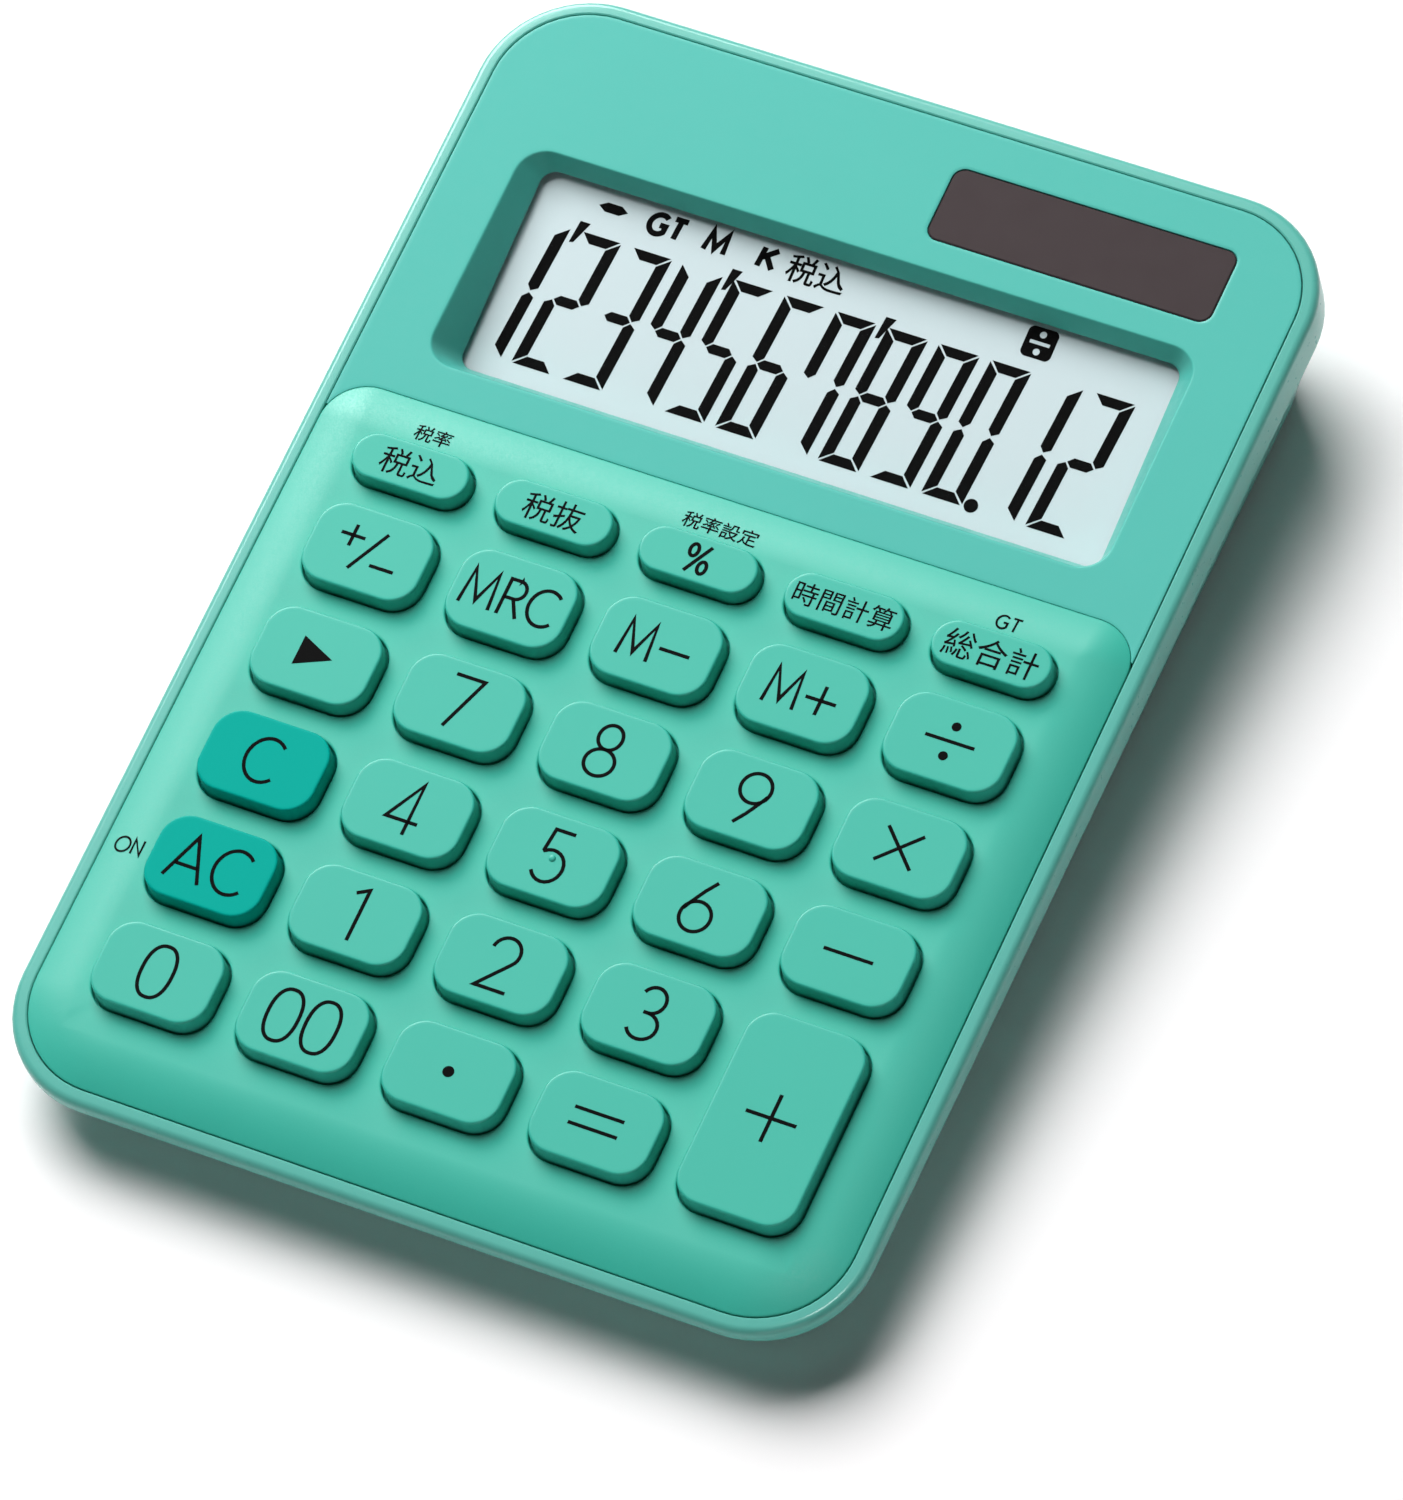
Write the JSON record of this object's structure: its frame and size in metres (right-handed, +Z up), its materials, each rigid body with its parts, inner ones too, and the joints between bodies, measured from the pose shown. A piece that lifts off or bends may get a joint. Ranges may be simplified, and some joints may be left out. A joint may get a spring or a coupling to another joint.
{
  "type": "electronic desk calculator",
  "caption": "Wedge-shaped solar desk calculator with a sunk tilted display, a raised keyboard panel and sprung rounded push keys.",
  "frame": {"origin": "centre of the calculator's plan at the height of the surface that it stands on", "axes": "+X to the right of the keyboard, +Y from the keyboard's front edge to the display's rear edge, +Z up; the top face slopes up towards +Y by 5.1 degrees"},
  "size_m": [0.105, 0.1494, 0.0228],
  "materials": {
    "case_plastic": "satin moulded ABS, mint green",
    "panel_plastic": "smooth glossy moulded ABS, mint green",
    "keyboard_plastic": "fine matte grain, mint green",
    "key_plastic": "smooth satin keycap plastic, mint green with dark printed legends",
    "clear_key_plastic": "smooth satin keycap plastic, deeper teal",
    "clear_plastic": "clear polished acrylic",
    "lcd_glass": "pale grey reflective liquid-crystal cell",
    "reflector_film": "satin silver film",
    "white_plastic": "moulded white plastic",
    "ribbon_film": "printed flexible film",
    "smoked_plastic": "polished smoked acrylic",
    "cell_glass": "amorphous silicon on glass",
    "board_laminate": "circuit board laminate",
    "carbon_ink": "printed carbon",
    "epoxy": "black potting resin",
    "capacitor_sleeve": "shrink sleeve over an aluminium can",
    "silicone": "translucent silicone rubber",
    "carbon_rubber": "conductive rubber",
    "screw_steel": "zinc-plated steel",
    "cell_steel": "nickel-plated steel",
    "contact_brass": "spring brass",
    "wire_sleeve": "insulated stranded wire",
    "black_rubber": "soft rubber",
    "label_film": "plain printed film, left blank"
  },
  "bodies": {
    "base": {"rear_case": "case_plastic", "rubber_feet": "black_rubber", "rating_label": "label_film", "display_panel": "panel_plastic", "keyboard_panel": "keyboard_plastic", "lcd_window": "clear_plastic", "lcd_glass": "lcd_glass", "lcd_reflector": "reflector_film", "lcd_holder": "white_plastic", "lcd_ribbon": "ribbon_film", "solar_window": "smoked_plastic", "solar_cell": "cell_glass", "main_board": "board_laminate", "contact_pads": "carbon_ink", "chip_blob": "epoxy", "capacitor": "capacitor_sleeve", "dome_sheet": "silicone", "carbon_pills": "carbon_rubber", "board_screws": "screw_steel", "button_cell": "cell_steel", "cell_contact_plus": "contact_brass", "cell_contact_minus": "contact_brass", "hookup_wires": "wire_sleeve", "case_screws": "screw_steel"},
    "key_tax_in": {"key_tax_in": "key_plastic"},
    "key_tax_out": {"key_tax_out": "key_plastic"},
    "key_percent": {"key_percent": "key_plastic"},
    "key_time": {"key_time": "key_plastic"},
    "key_grand_total": {"key_grand_total": "key_plastic"},
    "key_sign": {"key_sign": "key_plastic"},
    "key_memory_recall": {"key_memory_recall": "key_plastic"},
    "key_memory_minus": {"key_memory_minus": "key_plastic"},
    "key_memory_plus": {"key_memory_plus": "key_plastic"},
    "key_divide": {"key_divide": "key_plastic"},
    "key_backspace": {"key_backspace": "key_plastic"},
    "key_7": {"key_7": "key_plastic"},
    "key_8": {"key_8": "key_plastic"},
    "key_9": {"key_9": "key_plastic"},
    "key_multiply": {"key_multiply": "key_plastic"},
    "key_clear": {"key_clear": "clear_key_plastic"},
    "key_4": {"key_4": "key_plastic"},
    "key_5": {"key_5": "key_plastic"},
    "key_6": {"key_6": "key_plastic"},
    "key_minus": {"key_minus": "key_plastic"},
    "key_all_clear": {"key_all_clear": "clear_key_plastic"},
    "key_1": {"key_1": "key_plastic"},
    "key_2": {"key_2": "key_plastic"},
    "key_3": {"key_3": "key_plastic"},
    "key_plus": {"key_plus": "key_plastic"},
    "key_0": {"key_0": "key_plastic"},
    "key_00": {"key_00": "key_plastic"},
    "key_point": {"key_point": "key_plastic"},
    "key_equals": {"key_equals": "key_plastic"}
  },
  "joints": [
    {"name": "press_tax_in", "type": "slide", "parent": "base", "child": "key_tax_in", "axis": [0, 0.0889, -0.996], "range_m": [0, 0.0013], "stiffness_N_per_m": 280, "springref_m": -0.0003, "deforming": ["dome_sheet", "carbon_pills"]},
    {"name": "press_tax_out", "type": "slide", "parent": "base", "child": "key_tax_out", "axis": [0, 0.0889, -0.996], "range_m": [0, 0.0013], "stiffness_N_per_m": 280, "springref_m": -0.0003},
    {"name": "press_percent", "type": "slide", "parent": "base", "child": "key_percent", "axis": [0, 0.0889, -0.996], "range_m": [0, 0.0013], "stiffness_N_per_m": 280, "springref_m": -0.0003},
    {"name": "press_time", "type": "slide", "parent": "base", "child": "key_time", "axis": [0, 0.0889, -0.996], "range_m": [0, 0.0013], "stiffness_N_per_m": 280, "springref_m": -0.0003},
    {"name": "press_grand_total", "type": "slide", "parent": "base", "child": "key_grand_total", "axis": [0, 0.0889, -0.996], "range_m": [0, 0.0013], "stiffness_N_per_m": 280, "springref_m": -0.0003},
    {"name": "press_sign", "type": "slide", "parent": "base", "child": "key_sign", "axis": [0, 0.0889, -0.996], "range_m": [0, 0.0013], "stiffness_N_per_m": 280, "springref_m": -0.0003},
    {"name": "press_memory_recall", "type": "slide", "parent": "base", "child": "key_memory_recall", "axis": [0, 0.0889, -0.996], "range_m": [0, 0.0013], "stiffness_N_per_m": 280, "springref_m": -0.0003},
    {"name": "press_memory_minus", "type": "slide", "parent": "base", "child": "key_memory_minus", "axis": [0, 0.0889, -0.996], "range_m": [0, 0.0013], "stiffness_N_per_m": 280, "springref_m": -0.0003},
    {"name": "press_memory_plus", "type": "slide", "parent": "base", "child": "key_memory_plus", "axis": [0, 0.0889, -0.996], "range_m": [0, 0.0013], "stiffness_N_per_m": 280, "springref_m": -0.0003},
    {"name": "press_divide", "type": "slide", "parent": "base", "child": "key_divide", "axis": [0, 0.0889, -0.996], "range_m": [0, 0.0013], "stiffness_N_per_m": 280, "springref_m": -0.0003},
    {"name": "press_backspace", "type": "slide", "parent": "base", "child": "key_backspace", "axis": [0, 0.0889, -0.996], "range_m": [0, 0.0013], "stiffness_N_per_m": 280, "springref_m": -0.0003},
    {"name": "press_7", "type": "slide", "parent": "base", "child": "key_7", "axis": [0, 0.0889, -0.996], "range_m": [0, 0.0013], "stiffness_N_per_m": 280, "springref_m": -0.0003},
    {"name": "press_8", "type": "slide", "parent": "base", "child": "key_8", "axis": [0, 0.0889, -0.996], "range_m": [0, 0.0013], "stiffness_N_per_m": 280, "springref_m": -0.0003},
    {"name": "press_9", "type": "slide", "parent": "base", "child": "key_9", "axis": [0, 0.0889, -0.996], "range_m": [0, 0.0013], "stiffness_N_per_m": 280, "springref_m": -0.0003},
    {"name": "press_multiply", "type": "slide", "parent": "base", "child": "key_multiply", "axis": [0, 0.0889, -0.996], "range_m": [0, 0.0013], "stiffness_N_per_m": 280, "springref_m": -0.0003},
    {"name": "press_clear", "type": "slide", "parent": "base", "child": "key_clear", "axis": [0, 0.0889, -0.996], "range_m": [0, 0.0013], "stiffness_N_per_m": 280, "springref_m": -0.0003},
    {"name": "press_4", "type": "slide", "parent": "base", "child": "key_4", "axis": [0, 0.0889, -0.996], "range_m": [0, 0.0013], "stiffness_N_per_m": 280, "springref_m": -0.0003},
    {"name": "press_5", "type": "slide", "parent": "base", "child": "key_5", "axis": [0, 0.0889, -0.996], "range_m": [0, 0.0013], "stiffness_N_per_m": 280, "springref_m": -0.0003},
    {"name": "press_6", "type": "slide", "parent": "base", "child": "key_6", "axis": [0, 0.0889, -0.996], "range_m": [0, 0.0013], "stiffness_N_per_m": 280, "springref_m": -0.0003},
    {"name": "press_minus", "type": "slide", "parent": "base", "child": "key_minus", "axis": [0, 0.0889, -0.996], "range_m": [0, 0.0013], "stiffness_N_per_m": 280, "springref_m": -0.0003},
    {"name": "press_all_clear", "type": "slide", "parent": "base", "child": "key_all_clear", "axis": [0, 0.0889, -0.996], "range_m": [0, 0.0013], "stiffness_N_per_m": 280, "springref_m": -0.0003},
    {"name": "press_1", "type": "slide", "parent": "base", "child": "key_1", "axis": [0, 0.0889, -0.996], "range_m": [0, 0.0013], "stiffness_N_per_m": 280, "springref_m": -0.0003},
    {"name": "press_2", "type": "slide", "parent": "base", "child": "key_2", "axis": [0, 0.0889, -0.996], "range_m": [0, 0.0013], "stiffness_N_per_m": 280, "springref_m": -0.0003},
    {"name": "press_3", "type": "slide", "parent": "base", "child": "key_3", "axis": [0, 0.0889, -0.996], "range_m": [0, 0.0013], "stiffness_N_per_m": 280, "springref_m": -0.0003},
    {"name": "press_plus", "type": "slide", "parent": "base", "child": "key_plus", "axis": [0, 0.0889, -0.996], "range_m": [0, 0.0013], "stiffness_N_per_m": 280, "springref_m": -0.0003},
    {"name": "press_0", "type": "slide", "parent": "base", "child": "key_0", "axis": [0, 0.0889, -0.996], "range_m": [0, 0.0013], "stiffness_N_per_m": 280, "springref_m": -0.0003},
    {"name": "press_00", "type": "slide", "parent": "base", "child": "key_00", "axis": [0, 0.0889, -0.996], "range_m": [0, 0.0013], "stiffness_N_per_m": 280, "springref_m": -0.0003},
    {"name": "press_point", "type": "slide", "parent": "base", "child": "key_point", "axis": [0, 0.0889, -0.996], "range_m": [0, 0.0013], "stiffness_N_per_m": 280, "springref_m": -0.0003},
    {"name": "press_equals", "type": "slide", "parent": "base", "child": "key_equals", "axis": [0, 0.0889, -0.996], "range_m": [0, 0.0013], "stiffness_N_per_m": 280, "springref_m": -0.0003}
  ]
}
